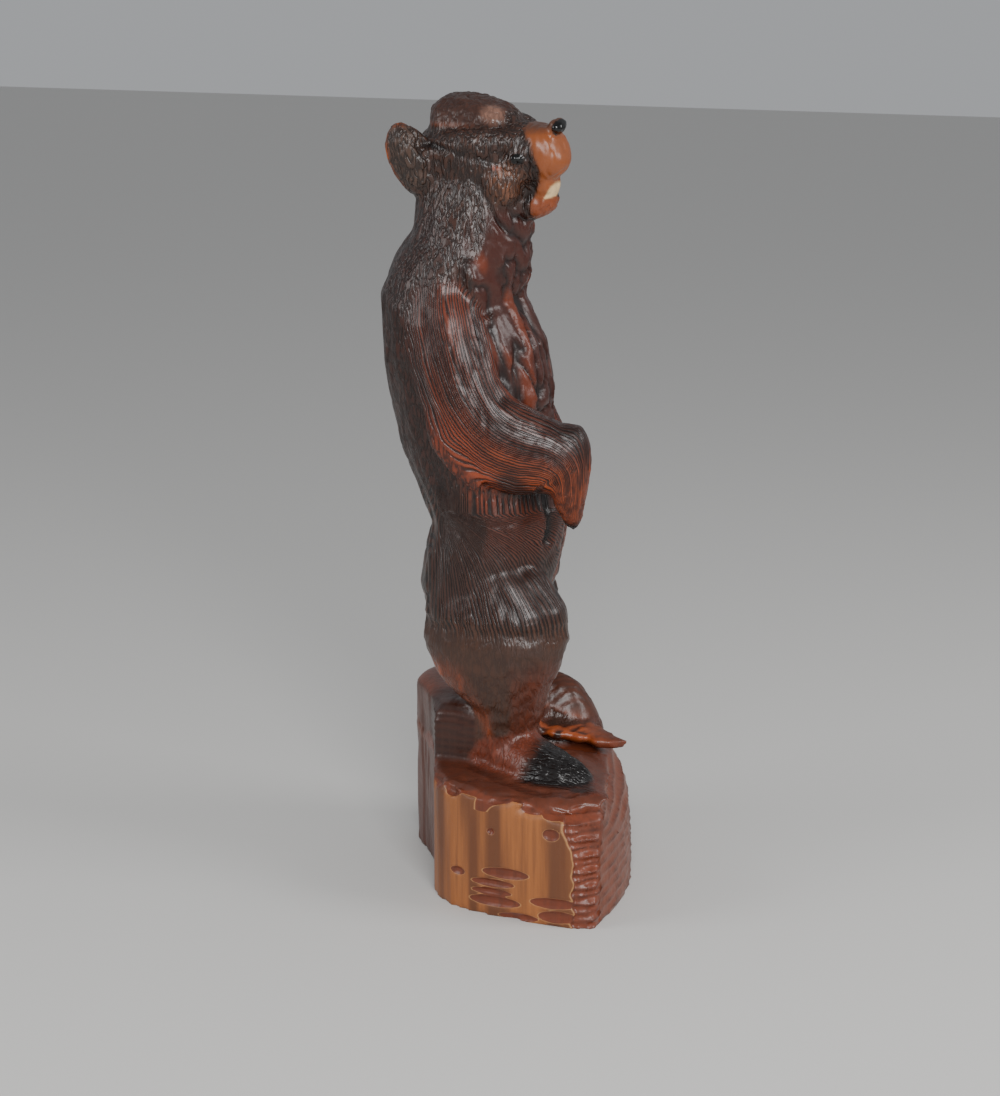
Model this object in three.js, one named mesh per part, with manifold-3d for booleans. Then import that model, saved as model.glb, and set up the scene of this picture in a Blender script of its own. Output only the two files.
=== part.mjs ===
// A chainsaw carved bear, standing upright on the butt of the log that it is cut from.
// The whole work is one block of wood: bear, foot log, root ledge and all are one solid.
// The bear faces +X, its right side is towards -Y, +Z is up, and the log's sawn foot is at z = 0.
import * as THREE from "three";
import { mergeVertices } from "three/addons/utils/BufferGeometryUtils.js";
import Module from "manifold-3d";

const wasm = await Module();
wasm.setup();

// ---- Driving dimensions, in millimetres and degrees ----

const STEP_TOP = 174; // height of the hewn step that the feet stand on
const BLOCK_TOP = 256; // height of the part of the log left standing behind the legs
const BLOCK_ROOT = 60; // its lower end, buried in the log
const BLOCK_ROUND = 28; // radius of its hewn edges
const LEDGE_HEIGHT = 178; // of the underside of the root ledge
const LEDGE_THICK = 14;
const LEDGE_FALL = 8; // how steeply the ledge falls towards its tip
const LEDGE_RISE = 8; // and how it rises towards the mound
const LEG_SPREAD = 62; // from the bear's midline to the middle of a leg
const SHOULDER_SPREAD = 94; // from the midline to the middle of an arm
const FAR_LEG_BACK = 42; // the left leg stands this much further back
const FAR_LEG_SLIM = 0.84; // and is this much less deep fore and aft
const FAR_FOOT_SUNK = 14; // and its foot is sunk this much deeper in the root
const HEAD_CENTRE = new THREE.Vector3(-86, 2, 1001);
const HEAD_TURN = -10; // the head is turned a little to the bear's right
const HEAD_ROLL = 10; // and its left side is held higher
const HEAD_RISE = 2; // the muzzle points this much above the level
const LEAN = 15; // the front of the log leans in by this much at the height of the step
const LOCK_DEPTH = 0.04; // share of the radius between the crest and the foot of a lock of fur

const LEFTWARD = new THREE.Vector3(0, 1, 0);

// ---- Solids ----

// A closed geometry as a solid that can be joined and cut.
function solid(geometry) {
  const bare = geometry.clone();
  bare.deleteAttribute("normal");
  bare.deleteAttribute("uv");
  const merged = mergeVertices(bare, 1e-3);
  const mesh = new wasm.Mesh({
    numProp: 3,
    vertProperties: new Float32Array(merged.attributes.position.array),
    triVerts: new Uint32Array(merged.index.array),
  });
  return new wasm.Manifold(mesh);
}

function joined(solids) {
  return solids.reduce((sum, next) => sum.add(next));
}

function geometryOf(body) {
  const mesh = body.getMesh();
  const geometry = new THREE.BufferGeometry();
  geometry.setAttribute("position", new THREE.BufferAttribute(mesh.vertProperties, 3));
  geometry.setIndex(new THREE.BufferAttribute(mesh.triVerts, 1));
  return geometry;
}

// One section of a swept form: its centre, its half depth (fore and aft) and its half width.
function section(x, y, z, deep, wide) {
  return { centre: new THREE.Vector3(x, y, z), half: new THREE.Vector3(deep, wide, 0) };
}

// A round form that passes through its sections and closes over both ends. It is a sphere whose
// poles are drawn out to the first and the last section. A high `blunt` keeps the ends full,
// a high `square` makes the sections boxy, and `relief` swells or sinks the surface.
function swept(sections, options = {}) {
  const { sides = 16, rings = 12, blunt = 2.5, square = 2, across = LEFTWARD, relief } = options;
  const spine = new THREE.CatmullRomCurve3(sections.map((s) => s.centre));
  const halves = new THREE.CatmullRomCurve3(sections.map((s) => s.half));
  const sphere = new THREE.SphereGeometry(1, sides, rings);
  const point = sphere.attributes.position;
  for (let i = 0; i < point.count; i++) {
    const pole = THREE.MathUtils.clamp(point.getY(i), -1, 1);
    const share = (1 + pole) / 2;
    const angle = Math.atan2(point.getZ(i), point.getX(i));
    const tangent = spine.getTangent(share);
    const side = across.clone().addScaledVector(tangent, -across.dot(tangent)).normalize();
    const front = side.clone().cross(tangent);
    const half = halves.getPoint(share);
    const closing = Math.pow(1 - Math.pow(Math.abs(pole), blunt), 1 / blunt);
    const corner = Math.pow(
      Math.pow(Math.abs(Math.cos(angle)), square) + Math.pow(Math.abs(Math.sin(angle)), square),
      -1 / square,
    );
    const scale = closing * corner * (relief ? relief(share, angle) : 1);
    const place = spine.getPoint(share);
    place.addScaledVector(front, scale * half.x * Math.cos(angle));
    place.addScaledVector(side, -scale * half.y * Math.sin(angle));
    point.setXYZ(i, place.x, place.y, place.z);
  }
  return sphere;
}

// Locks of fur round a form: rounded crests with sharp valleys, leaning by `lean` turns of a lock
// from end to end, and broken into staggered tiers so that they overlap like combed hair.
function locks(count, tiers, lean = 0) {
  return (share, angle) => {
    const turn = (angle / (2 * Math.PI)) * count + lean * share;
    const crest = Math.abs(Math.sin(Math.PI * turn));
    const tier = share * tiers + 0.5 * (Math.floor(turn) % 2);
    const lap = tier - Math.floor(tier);
    return 1 + LOCK_DEPTH * (crest - 0.6) + 0.5 * LOCK_DEPTH * (0.5 - lap);
  };
}

// The same sections on the other side of the midline.
function mirrored(sections, shift = 0) {
  return sections.map((s) => section(s.centre.x + shift, -s.centre.y, s.centre.z, s.half.x, s.half.y));
}

// ---- Log: the foot of the trunk, with a step hewn in it for the feet ----

// The log seen from above: a sawn face towards -Y that bows out a little, a hewn front face, and
// the round trunk on the far side.
const NEAR_FACE = new THREE.SplineCurve([
  new THREE.Vector2(-94, -146),
  new THREE.Vector2(-66, -178),
  new THREE.Vector2(-14, -196),
  new THREE.Vector2(50, -203),
  new THREE.Vector2(112, -206),
  new THREE.Vector2(157, -199),
]);
const NEAR_FACE_STEPS = 8;

function logOutline() {
  const outline = new THREE.Shape();
  for (let i = 0; i <= NEAR_FACE_STEPS; i++) {
    const { x, y } = NEAR_FACE.getPoint(i / NEAR_FACE_STEPS);
    i === 0 ? outline.moveTo(x, y) : outline.lineTo(x, y);
  }
  outline.lineTo(163, -116);
  outline.bezierCurveTo(164, -60, 158, -20, 140, 24);
  outline.bezierCurveTo(120, 80, 90, 128, 20, 146);
  outline.bezierCurveTo(-60, 164, -130, 150, -177, 96);
  outline.bezierCurveTo(-198, 70, -198, 46, -186, 24);
  outline.bezierCurveTo(-162, -6, -136, -40, -116, -88);
  outline.closePath();
  return outline;
}

function trunk(height, steps) {
  const options = { depth: height, bevelEnabled: false, curveSegments: 6, steps };
  return new THREE.ExtrudeGeometry(logOutline(), options);
}

// The log leans in a little towards its top, but for the flat sawn face.
function foot() {
  const log = trunk(STEP_TOP, 3);
  const point = log.attributes.position;
  for (let i = 0; i < point.count; i++) {
    const far = THREE.MathUtils.smoothstep(point.getY(i), -190, -20);
    const high = Math.pow(point.getZ(i) / STEP_TOP, 3);
    const front = Math.max(0, point.getX(i)) / NEAR_CORNER.x;
    point.setX(i, point.getX(i) - LEAN * front * far * high);
  }
  return solid(log);
}

// One cut of a round gouge: a long shallow scoop, `along` its length.
function gouge(place, along, long, wide, deep) {
  const scoop = new THREE.SphereGeometry(1, 8, 6);
  scoop.rotateZ(Math.PI / 2);
  scoop.scale(long, wide, deep);
  const turn = new THREE.Quaternion().setFromUnitVectors(new THREE.Vector3(1, 0, 0), along);
  scoop.applyQuaternion(turn);
  scoop.translate(place.x, place.y, place.z);
  return solid(scoop);
}

// Slanting cuts, each of which takes off what lies above a plane. The plane starts at the given
// point and falls by `tilt` degrees in the direction of `turn`.
const NEAR_CORNER = new THREE.Vector3(144, -184, STEP_TOP);
const CORNER_TILT = 83;
const CORNER_TURN = -49;
const SLOPES = [
  { x: 70, y: 0, z: STEP_TOP, tilt: 18, turn: 25 },
  { x: 112, y: 0, z: STEP_TOP - 18, tilt: 45, turn: 14 },
  { x: 133, y: 0, z: STEP_TOP - 32, tilt: 62, turn: 8 },
  { x: 95, y: -160, z: STEP_TOP, tilt: 28, turn: -60 },
  { ...NEAR_CORNER, tilt: CORNER_TILT, turn: CORNER_TURN },
];

function slopes() {
  const cuts = SLOPES.map(({ x, y, z, tilt, turn }) => {
    const wedge = new THREE.BoxGeometry(200, 600, 120);
    wedge.translate(100, 0, 60);
    wedge.rotateY(THREE.MathUtils.degToRad(tilt));
    wedge.rotateZ(THREE.MathUtils.degToRad(turn));
    wedge.translate(x, y, z);
    return solid(wedge);
  });
  return joined(cuts);
}

// Gouge cuts along the top edge of the sawn face, which dip towards the front, and more stacked
// up the near corner.
function gouges() {
  const cuts = [];
  const edgeCuts = 7;
  for (let i = 0; i < edgeCuts; i++) {
    const share = (i + 0.6) / edgeCuts;
    const at = NEAR_FACE.getPoint(share);
    const run = NEAR_FACE.getTangent(share);
    const dip = 24 * THREE.MathUtils.smoothstep(share, 0.5, 0.95) + 4 * Math.sin(i * 2.1);
    const place = new THREE.Vector3(at.x, at.y, STEP_TOP - 4 - dip);
    cuts.push(gouge(place, new THREE.Vector3(run.x, run.y, 0), 25, 9, 10));
  }
  const turn = THREE.MathUtils.degToRad(CORNER_TURN);
  const out = new THREE.Vector3(Math.cos(turn), Math.sin(turn), 0);
  const across = new THREE.Vector3(-out.y, out.x, 0);
  const batter = 1 / Math.tan(THREE.MathUtils.degToRad(CORNER_TILT));
  const cornerCuts = 8;
  for (let i = 0; i < cornerCuts; i++) {
    const depth = STEP_TOP * ((i + 0.8) / cornerCuts);
    const place = NEAR_CORNER.clone().addScaledVector(out, depth * batter);
    place.z -= depth;
    cuts.push(gouge(place, across, 30 - depth * 0.1, 7, 9));
  }
  return joined(cuts);
}

// What is left of the trunk behind the legs: a wall with a hewn near side and a rounded top.
function block() {
  const round = BLOCK_ROUND;
  const outline = new THREE.Shape();
  outline.moveTo(-30, -92 + round);
  outline.lineTo(-30, 100);
  outline.bezierCurveTo(-60, 126, -112, 126, -154, 86);
  outline.bezierCurveTo(-172, 66, -172, 48, -162, 30);
  outline.bezierCurveTo(-142, -6, -114, -36, -98, -92 + round);
  outline.closePath();
  const wall = new THREE.ExtrudeGeometry(outline, {
    depth: BLOCK_TOP - BLOCK_ROOT - 2 * round,
    bevelThickness: round,
    bevelSize: round,
    bevelSegments: 3,
    curveSegments: 6,
  });
  wall.translate(0, 0, BLOCK_ROOT + round);
  return solid(wall).intersect(solid(trunk(BLOCK_TOP, 1)));
}

// The mound of the root at the left front, which the left foot is sunk behind.
function mound() {
  const spread = [
    section(-62, 98, 150, 100, 50),
    section(-34, 99, 150, 108, 54),
    section(-8, 100, 150, 110, 52),
    section(16, 100, 150, 104, 48),
    section(38, 100, 150, 90, 44),
    section(56, 100, 150, 60, 38),
    section(73, 100, 150, 30, 26),
  ];
  return solid(swept(spread, { sides: 14, rings: 12, blunt: 5 }));
}

// The thin split ledge that overhangs the step on the near side of the mound, with a ragged edge.
function ledge() {
  const notches = 9;
  const outline = new THREE.Shape();
  outline.moveTo(-20, 90);
  outline.lineTo(-6, 22);
  for (let i = 0; i <= notches; i++) {
    const share = i / notches;
    const ragged = 3 * Math.sin(i * 2.4) + 2 * Math.sin(i * 5.3);
    outline.lineTo(4 + 98 * share, 22 + 17 * share + ragged);
  }
  outline.lineTo(122, 54);
  outline.lineTo(80, 72);
  outline.lineTo(50, 92);
  outline.closePath();
  const slab = new THREE.ExtrudeGeometry(outline, { depth: LEDGE_THICK, bevelEnabled: false });
  slab.rotateX(THREE.MathUtils.degToRad(LEDGE_RISE));
  slab.rotateY(THREE.MathUtils.degToRad(LEDGE_FALL));
  slab.translate(0, 0, LEDGE_HEIGHT);
  return solid(slab);
}

// The dark hollow under the ledge, between the mound and the right foot.
function hollow() {
  const along = new THREE.Vector3(1, 0.15, 0).normalize();
  return gouge(new THREE.Vector3(42, 38, STEP_TOP - 2), along, 60, 26, 16);
}

function log() {
  const hewn = foot().subtract(slopes()).subtract(gouges());
  return joined([hewn, block(), mound()]).subtract(hollow()).add(ledge());
}

// ---- Legs and feet ----

const RIGHT_LEG = [
  section(-60, -26, 516, 58, 50),
  section(-57, -50, 440, 84, 58),
  section(-34, -LEG_SPREAD, 370, 108, 62),
  section(-26, -LEG_SPREAD - 4, 326, 98, 58),
  section(-18, -LEG_SPREAD - 2, 290, 76, 52),
  section(-12, -LEG_SPREAD, 258, 50, 46),
  section(-16, -LEG_SPREAD, 220, 43, 42),
  section(-18, -LEG_SPREAD, 160, 46, 44),
];

const RIGHT_FOOT = [
  section(-62, -54, 180, 24, 30),
  section(-28, -62, 186, 34, 38),
  section(10, -74, 184, 40, 42),
  section(44, -86, 178, 34, 44),
  section(74, -95, 174, 29, 42),
  section(98, -102, 170, 25, 36),
  section(117, -107, 168, 20, 28),
];

const LEFT_LEG = mirrored(RIGHT_LEG, -FAR_LEG_BACK);
for (const { half } of LEFT_LEG) {
  half.x *= FAR_LEG_SLIM;
}

const LEFT_FOOT = mirrored(RIGHT_FOOT, -FAR_LEG_BACK);
for (const { centre } of LEFT_FOOT) {
  centre.z -= FAR_FOOT_SUNK;
}

function leg(sections) {
  return solid(swept(sections, { sides: 20, rings: 17, blunt: 4, relief: locks(10, 5, 0.6) }));
}

// Toes show as shallow folds that run back from the front of the foot.
function toes(share, angle) {
  const fold = Math.abs(Math.sin(2.5 * angle));
  const reach = THREE.MathUtils.smoothstep(share, 0.5, 0.95);
  return 1 + 0.12 * reach * (fold - 0.6);
}

function sole(sections) {
  return solid(swept(sections, { sides: 14, rings: 12, blunt: 3, relief: toes }));
}

// ---- Trunk of the body ----

const BODY = [
  section(-46, 0, 304, 30, 40),
  section(-54, 0, 346, 62, 80),
  section(-62, 0, 386, 88, 104),
  section(-66, 0, 424, 96, 113),
  section(-56, 0, 466, 92, 110),
  section(-48, 0, 510, 94, 106),
  section(-60, 0, 556, 96, 106),
  section(-74, 0, 604, 102, 110),
  section(-86, 0, 652, 109, 114),
  section(-92, 0, 704, 114, 119),
  section(-107, 0, 752, 110, 122),
  section(-123, 0, 796, 93, 117),
  section(-107, 0, 838, 92, 108),
  section(-92, 0, 876, 84, 96),
  section(-86, 0, 914, 82, 86),
  section(-83, 0, 952, 86, 80),
  section(-82, 0, 990, 84, 74),
  section(-80, 0, 1026, 70, 64),
];

function body() {
  return solid(swept(BODY, { sides: 36, rings: 30, blunt: 5, relief: locks(14, 9, 1.6) }));
}

// One hanging lock of fur: a thin tongue that narrows to its tip.
function tuft(root, middle, tip, wide, thick) {
  const along = [
    section(...root, thick, wide),
    section(...middle, thick * 0.9, wide * 0.85),
    section(...tip, thick * 0.4, wide * 0.2),
  ];
  return solid(swept(along, { sides: 8, rings: 6, blunt: 2.5 }));
}

// Tufts of the throat ruff and of the chest, on both sides of the midline.
function ruff() {
  const places = [
    { root: [-44, 0, 908], middle: [-21, 0, 872], tip: [-16, 0, 826], wide: 30, thick: 18 },
    { root: [-54, 34, 900], middle: [-31, 40, 866], tip: [-28, 36, 818], wide: 28, thick: 18 },
    { root: [-70, 66, 886], middle: [-58, 76, 844], tip: [-50, 72, 796], wide: 28, thick: 16 },
    { root: [-70, 26, 812], middle: [-15, 26, 748], tip: [13, 22, 692], wide: 32, thick: 20 },
    { root: [-74, 64, 786], middle: [-34, 64, 736], tip: [-10, 52, 680], wide: 30, thick: 18 },
  ];
  const tufts = [];
  for (const { root, middle, tip, wide, thick } of places) {
    for (const hand of root[1] === 0 ? [1] : [1, -1]) {
      const placed = [root, middle, tip].map(([x, y, z]) => [x, hand * y, z]);
      tufts.push(tuft(...placed, wide, thick));
    }
  }
  return joined(tufts);
}

// ---- Arms: both bent, the right paw held out and hanging, the left one on the belly ----

const RIGHT_ARM = [
  section(-116, -46, 872, 46, 34),
  section(-108, -78, 806, 60, 42),
  section(-88, -SHOULDER_SPREAD, 742, 62, 42),
  section(-64, -SHOULDER_SPREAD - 4, 684, 60, 40),
  section(-28, -SHOULDER_SPREAD - 4, 642, 64, 38),
  section(18, -SHOULDER_SPREAD, 624, 62, 36),
  section(58, -88, 623, 55, 34),
  section(92, -84, 628, 47, 30),
];

const RIGHT_PAW = [
  section(83, -84, 666, 30, 26),
  section(78, -80, 612, 31, 28),
  section(75, -76, 570, 27, 25),
  section(83, -72, 518, 14, 19),
];

const LEFT_ARM = [
  section(-116, 46, 872, 44, 34),
  section(-110, 78, 806, 56, 42),
  section(-96, 92, 742, 54, 40),
  section(-80, 94, 684, 50, 38),
  section(-54, 94, 640, 48, 36),
  section(-28, 86, 612, 42, 34),
  section(-2, 72, 594, 36, 30),
  section(18, 52, 578, 28, 26),
];

const LEFT_PAW = [
  section(12, 56, 600, 22, 26),
  section(24, 46, 570, 27, 28),
  section(30, 38, 538, 21, 26),
  section(30, 34, 508, 10, 18),
];

function arm(sections) {
  return solid(swept(sections, { sides: 16, rings: 14, blunt: 4, relief: locks(8, 5, 1.2) }));
}

function paw(sections) {
  return solid(swept(sections, { sides: 12, rings: 10, blunt: 3 }));
}

// The long fur that hangs back from each elbow.
function elbowTufts() {
  const right = tuft([-96, -112, 716], [-76, -126, 640], [-34, -118, 566], 15, 34);
  const left = tuft([-98, 108, 716], [-82, 120, 646], [-50, 112, 580], 15, 32);
  return right.add(left);
}

// ---- Head, in its own frame: muzzle towards +X, crown towards +Z, middle of the skull at 0 ----

function inHead(geometry) {
  geometry.rotateX(THREE.MathUtils.degToRad(HEAD_ROLL));
  geometry.rotateY(THREE.MathUtils.degToRad(-HEAD_RISE));
  geometry.rotateZ(THREE.MathUtils.degToRad(HEAD_TURN));
  geometry.translate(HEAD_CENTRE.x, HEAD_CENTRE.y, HEAD_CENTRE.z);
  return solid(geometry);
}

// The skull is full at the brow, where it stops short of the muzzle.
function skull() {
  const lengthways = [
    section(-70, 0, -30, 58, 60),
    section(-40, 0, -16, 68, 70),
    section(-4, 0, -8, 70, 74),
    section(34, 0, -6, 66, 70),
    section(64, 0, -8, 58, 60),
    section(84, 0, -12, 46, 46),
  ];
  const form = swept(lengthways, { sides: 24, rings: 16, blunt: 3.4, relief: locks(12, 3) });
  return inHead(form);
}

// The high crown between the ears, which falls steeply to the brow.
function crown() {
  const lengthways = [
    section(-50, 8, 34, 32, 40),
    section(-30, 8, 42, 43, 50),
    section(8, 8, 42, 40, 50),
    section(42, 6, 36, 36, 44),
    section(68, 4, 28, 26, 30),
  ];
  return inHead(swept(lengthways, { sides: 16, rings: 12, blunt: 4, relief: locks(6, 2) }));
}

function muzzle() {
  const lengthways = [
    section(30, 0, 2, 46, 44),
    section(66, 0, 4, 46, 42),
    section(96, 0, 6, 43, 37),
    section(118, 0, 11, 37, 33),
    section(136, 0, 17, 29, 27),
  ];
  return inHead(swept(lengthways, { sides: 18, rings: 14, blunt: 4.5, square: 2.3 }));
}

// The lower jaw hangs a little open, with the teeth filling the gap.
function lowerJaw() {
  const lengthways = [
    section(10, 0, -58, 32, 46),
    section(50, 0, -60, 27, 38),
    section(88, 0, -60, 23, 29),
    section(118, 0, -55, 14, 21),
  ];
  return inHead(swept(lengthways, { sides: 14, rings: 10, blunt: 4, square: 2.4 }));
}

function teeth() {
  const lengthways = [
    section(84, 0, -36, 14, 25),
    section(104, 0, -36, 14, 23),
    section(121, 0, -35, 12, 19),
  ];
  return inHead(swept(lengthways, { sides: 12, rings: 6, blunt: 5, square: 3 }));
}

function nose() {
  const lengthways = [
    section(121, 0, 48, 7, 13),
    section(132, 0, 44, 10, 17),
    section(142, 0, 37, 8, 14),
  ];
  return inHead(swept(lengthways, { sides: 12, rings: 8 }));
}

// Temple and brow in one band, a cheek below it, and a small deep-set eye between them.
function faceSide(hand) {
  const brow = [
    section(-40, hand * 54, 16, 24, 18),
    section(10, hand * 54, 24, 27, 20),
    section(56, hand * 42, 28, 22, 18),
    section(86, hand * 28, 30, 14, 12),
  ];
  const cheek = [
    section(30, hand * 50, -30, 32, 20),
    section(58, hand * 45, -26, 33, 22),
    section(84, hand * 34, -28, 27, 16),
  ];
  const eye = new THREE.SphereGeometry(8, 10, 6);
  eye.translate(85, hand * 39, 8);
  return joined([
    inHead(swept(brow, { sides: 12, rings: 9, blunt: 3 })),
    inHead(swept(cheek, { sides: 12, rings: 8, blunt: 3 })),
    inHead(eye),
  ]);
}

function ear(hand) {
  const lobe = [
    section(-38, hand * 48, -48, 28, 26),
    section(-53, hand * 58, -4, 36, 27),
    section(-67, hand * 66, 36, 32, 23),
    section(-75, hand * 69, 64, 17, 13),
  ];
  return inHead(swept(lobe, { sides: 14, rings: 9, blunt: 2.6 }));
}

function head() {
  const middle = [skull(), crown(), muzzle(), lowerJaw(), teeth(), nose()];
  const sides = [1, -1].flatMap((hand) => [faceSide(hand), ear(hand)]);
  return joined([...middle, ...sides]);
}

// ---- The carving ----

function carving() {
  return joined([
    log(),
    leg(RIGHT_LEG),
    leg(LEFT_LEG),
    sole(RIGHT_FOOT),
    sole(LEFT_FOOT),
    body(),
    ruff(),
    arm(RIGHT_ARM),
    arm(LEFT_ARM),
    paw(RIGHT_PAW),
    paw(LEFT_PAW),
    elbowTufts(),
    head(),
  ]);
}

// The origin is the middle of the bounding box, at the foot of the log.
function centred(geometry) {
  geometry.computeBoundingBox();
  const { min, max } = geometry.boundingBox;
  geometry.translate(-(min.x + max.x) / 2, -(min.y + max.y) / 2, -min.z);
  return geometry;
}

const wood = new THREE.MeshStandardMaterial({ color: 0x4a2a1c, roughness: 0.35, metalness: 0 });
const bear = new THREE.Mesh(centred(geometryOf(carving())), wood);
bear.name = "carved_bear";

const group = new THREE.Group();
group.add(bear);

export default group;
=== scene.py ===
# A bear carved with chainsaw and gouge from one length of trunk, standing up on the foot of the
# log. It is stained dark brown, painted at nose, eyes and teeth, and varnished.
# All sizes are in metres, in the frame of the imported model: the bear faces +X, its right is -Y.
import math

import bmesh
import bpy
import numpy as np
from mathutils import Matrix, Vector, noise


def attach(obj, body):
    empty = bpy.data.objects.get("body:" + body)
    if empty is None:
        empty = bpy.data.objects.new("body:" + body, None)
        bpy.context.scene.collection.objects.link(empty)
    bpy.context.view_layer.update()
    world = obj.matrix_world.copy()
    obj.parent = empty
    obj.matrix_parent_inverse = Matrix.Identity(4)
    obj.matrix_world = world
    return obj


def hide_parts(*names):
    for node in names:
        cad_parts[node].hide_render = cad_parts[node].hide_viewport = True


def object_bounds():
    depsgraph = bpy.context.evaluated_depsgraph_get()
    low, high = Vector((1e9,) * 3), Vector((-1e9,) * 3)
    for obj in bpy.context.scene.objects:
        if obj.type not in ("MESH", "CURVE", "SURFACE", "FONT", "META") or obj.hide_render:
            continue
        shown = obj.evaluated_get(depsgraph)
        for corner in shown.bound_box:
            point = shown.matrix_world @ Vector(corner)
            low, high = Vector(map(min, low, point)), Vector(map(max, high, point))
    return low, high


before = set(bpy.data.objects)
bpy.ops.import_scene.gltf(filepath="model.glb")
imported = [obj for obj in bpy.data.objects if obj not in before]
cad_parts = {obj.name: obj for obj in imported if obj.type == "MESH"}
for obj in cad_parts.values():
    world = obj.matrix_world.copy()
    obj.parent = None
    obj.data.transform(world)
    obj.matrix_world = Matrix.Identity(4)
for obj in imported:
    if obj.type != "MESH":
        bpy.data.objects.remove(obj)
cad_low, cad_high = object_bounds()

# ---- Viewpoint ----
# The bear is seen from its right side and a little from the front, from above its head height.
camera = bpy.data.objects.new("viewpoint", bpy.data.cameras.new("viewpoint"))
camera.data.lens = 80
camera.data.sensor_width = 36
camera.location = (1.094, -3.047, 1.350)
camera.rotation_euler = (math.radians(74.8), 0, math.radians(20))
bpy.context.scene.collection.objects.link(camera)
bpy.context.scene.camera = camera

# ---- The roughed-out block ----
# One length of trunk, blocked out with the chainsaw: bear, foot log and root ledge in one piece.
# The saw leaves broad soft forms, and all the gouge work that follows is cut into them.
GRAIN_OF_WORK = 0.0049  # how finely the surface is worked
HEAD_WORK = 0.905  # above this height it is worked twice as finely
STEP_TOP = 0.174  # height of the step that the feet stand on
FACE_WORK = 0.010  # how near the sawn face it is worked finely too
RUBBINGS = 16  # rounds of rubbing down, which take the saw's ridges off
EDGE_KEPT = 0.85  # share of a log edge that the rubbing leaves
SAWN_LINE = [  # x and y of the flat sawn face of the log, bowed where the saw drifted
    (-0.069, -0.1195), (-0.048, -0.144), (-0.021, -0.160), (0.015, -0.1695),
    (0.054, -0.175), (0.123, -0.179), (0.160, -0.177), (0.180, -0.162),
]


def sawn_at(x):
    """How far out the sawn face lies, at a place along the log."""
    return np.interp(x, *zip(*SAWN_LINE))


block = bmesh.new()
block.from_mesh(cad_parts["carved_bear"].data)
bmesh.ops.remove_doubles(block, verts=block.verts, dist=1e-5)
rough = bpy.data.meshes.new("roughed_block")
block.to_mesh(rough)
block.free()
carving = bpy.data.objects.new("bear_carving", rough)
bpy.context.scene.collection.objects.link(carving)
saw = carving.modifiers.new("saw", "REMESH")
saw.mode = "VOXEL"
saw.voxel_size = GRAIN_OF_WORK
sawn = carving.evaluated_get(bpy.context.evaluated_depsgraph_get())
wood = bmesh.new()
wood.from_mesh(sawn.to_mesh())
sawn.to_mesh_clear()
carving.modifiers.clear()


def worked_finely(vert):
    """Whether a point is on the head or on the sawn face."""
    on_face = abs(vert.co.y - sawn_at(vert.co.x)) < FACE_WORK and vert.co.z < 0.19
    return vert.co.z > HEAD_WORK or on_face


fine = {vert for vert in wood.verts if worked_finely(vert)}
edges = [edge for edge in wood.edges if edge.verts[0] in fine and edge.verts[1] in fine]
bmesh.ops.subdivide_edges(wood, edges=edges, cuts=1, use_grid_fill=True)
mesh = bpy.data.meshes.new("bear_carving")
wood.to_mesh(mesh)
wood.free()
carving.data = mesh
mesh.shade_smooth()

at = np.empty(len(mesh.vertices) * 3, np.float32)
mesh.vertices.foreach_get("co", at)
at = at.reshape(-1, 3).astype(float)
ends = np.empty(len(mesh.edges) * 2, np.int32)
mesh.edges.foreach_get("vertices", ends)
ends = np.concatenate([ends.reshape(-1, 2), ends.reshape(-1, 2)[:, ::-1]])
neighbours = np.bincount(ends[:, 0], minlength=len(at))


def rubbed(places, rounds):
    """Places evened out with their neighbours, in and out by turns, so that the form keeps its size."""
    places = places.copy()
    for strength in (0.5, -0.52) * rounds:
        for axis in range(3):
            around = np.bincount(ends[:, 0], places[ends[:, 1], axis], len(at)) / neighbours
            places[:, axis] += strength * (around - places[:, axis])
    return places


def eased(low, high, value):
    """0 up to low and 1 from high on, eased between. Low may be the larger of the two."""
    share = np.clip((value - low) / (high - low), 0, 1)
    return share * share * (3 - 2 * share)


def outward():
    """The way that each point of the surface faces."""
    mesh.vertices.foreach_set("co", at.astype(np.float32).ravel())
    mesh.update()
    facing = np.empty(len(at) * 3, np.float32)
    mesh.vertex_normals.foreach_get("vector", facing)
    return facing.reshape(-1, 3).astype(float)


log_edge = eased(0.19, 0.165, at[:, 2]) * eased(0.02, 0.004, at[:, 1] - sawn_at(at[:, 0]))
soft = rubbed(at, RUBBINGS)
at += (soft - at) * (1 - EDGE_KEPT * log_edge)[:, None]
facing = outward()
start = at.copy()  # the roughed surface, which every region below is found on

tone = np.zeros((len(at), 3))  # the stain, as linear colour
gloss = np.full(len(at), 0.5)
comb = np.zeros((len(at), 4))  # how deep the strokes are: along arms, fanned, upright, forward


def shade(red, green, blue):
    """A colour as the eye sees it, 0 to 255, in linear light."""
    return (np.array([red, green, blue]) / 255) ** 2.2


def stained(where, colour):
    """Lays a colour over the wood, as strongly as where says, from 0 to 1."""
    tone[:] += (colour - tone) * np.clip(where, 0, 1)[:, None]


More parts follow.
